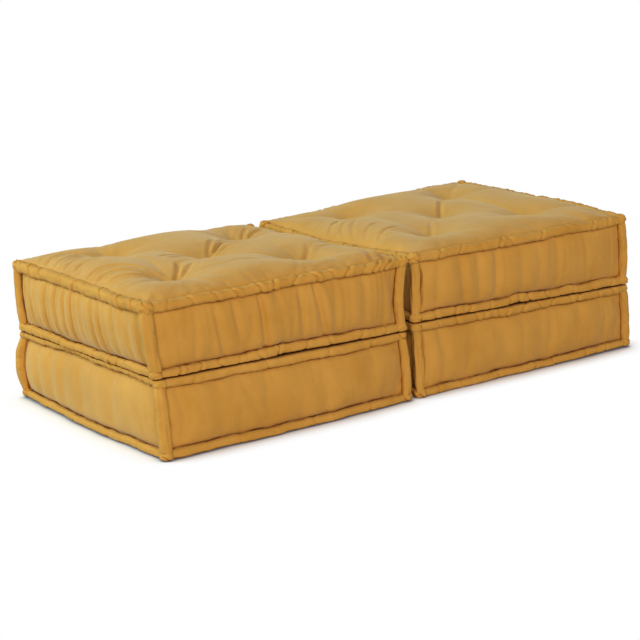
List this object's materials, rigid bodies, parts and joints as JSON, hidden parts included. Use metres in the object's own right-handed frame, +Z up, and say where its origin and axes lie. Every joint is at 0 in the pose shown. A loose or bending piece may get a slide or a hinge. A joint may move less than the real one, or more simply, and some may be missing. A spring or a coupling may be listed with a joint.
{
  "type": "modular floor sofa",
  "caption": "Modular floor sofa of two square units, each a tufted cushion with rolled edges folded onto a matching base cushion and hinged along the back.",
  "frame": {"origin": "middle of the two folded units' common footprint, on the floor", "axes": "+X along the row of units, from the left unit to the right one; -Y towards the front; +Z up"},
  "size_m": [1.4402, 0.7, 0.3879],
  "materials": {
    "cover_cloth": "matte plain-woven cotton",
    "rolled_edge": "matte plain-woven cotton, rolled and hand-stitched",
    "wadding": "loose cotton wadding",
    "twine": "matte cotton twine"
  },
  "bodies": {
    "lower_left": {"lower_left_core": "wadding", "lower_left_top_panel": "cover_cloth", "lower_left_bottom_panel": "cover_cloth", "lower_left_front_wall": "cover_cloth", "lower_left_right_wall": "cover_cloth", "lower_left_back_wall": "cover_cloth", "lower_left_left_wall": "cover_cloth", "lower_left_top_rolls": "rolled_edge", "lower_left_bottom_rolls": "rolled_edge", "lower_left_corner_rolls": "rolled_edge", "lower_left_tuft_ties": "twine", "lower_left_hinge_band": "rolled_edge"},
    "upper_left": {"upper_left_core": "wadding", "upper_left_top_panel": "cover_cloth", "upper_left_bottom_panel": "cover_cloth", "upper_left_front_wall": "cover_cloth", "upper_left_right_wall": "cover_cloth", "upper_left_back_wall": "cover_cloth", "upper_left_left_wall": "cover_cloth", "upper_left_top_rolls": "rolled_edge", "upper_left_bottom_rolls": "rolled_edge", "upper_left_corner_rolls": "rolled_edge", "upper_left_tuft_ties": "twine", "upper_left_hinge_band": "rolled_edge"},
    "lower_right": {"lower_right_core": "wadding", "lower_right_top_panel": "cover_cloth", "lower_right_bottom_panel": "cover_cloth", "lower_right_front_wall": "cover_cloth", "lower_right_right_wall": "cover_cloth", "lower_right_back_wall": "cover_cloth", "lower_right_left_wall": "cover_cloth", "lower_right_top_rolls": "rolled_edge", "lower_right_bottom_rolls": "rolled_edge", "lower_right_corner_rolls": "rolled_edge", "lower_right_tuft_ties": "twine", "lower_right_hinge_band": "rolled_edge"},
    "upper_right": {"upper_right_core": "wadding", "upper_right_top_panel": "cover_cloth", "upper_right_bottom_panel": "cover_cloth", "upper_right_front_wall": "cover_cloth", "upper_right_right_wall": "cover_cloth", "upper_right_back_wall": "cover_cloth", "upper_right_left_wall": "cover_cloth", "upper_right_top_rolls": "rolled_edge", "upper_right_bottom_rolls": "rolled_edge", "upper_right_corner_rolls": "rolled_edge", "upper_right_tuft_ties": "twine", "upper_right_hinge_band": "rolled_edge"}
  },
  "joints": [
    {"name": "left_fold", "type": "hinge", "parent": "lower_left", "child": "upper_left", "pos_m": [-0.36015, 0.35015, 0.18015], "axis": [-1, 0, 0], "range_deg": [0, 180]},
    {"name": "right_unit_slide", "type": "slide", "parent": "lower_left", "child": "lower_right", "axis": [1, 0, 0], "range_m": [0, 0.5]},
    {"name": "right_fold", "type": "hinge", "parent": "lower_right", "child": "upper_right", "pos_m": [0.36015, 0.35015, 0.18015], "axis": [-1, 0, 0], "range_deg": [0, 180]}
  ]
}
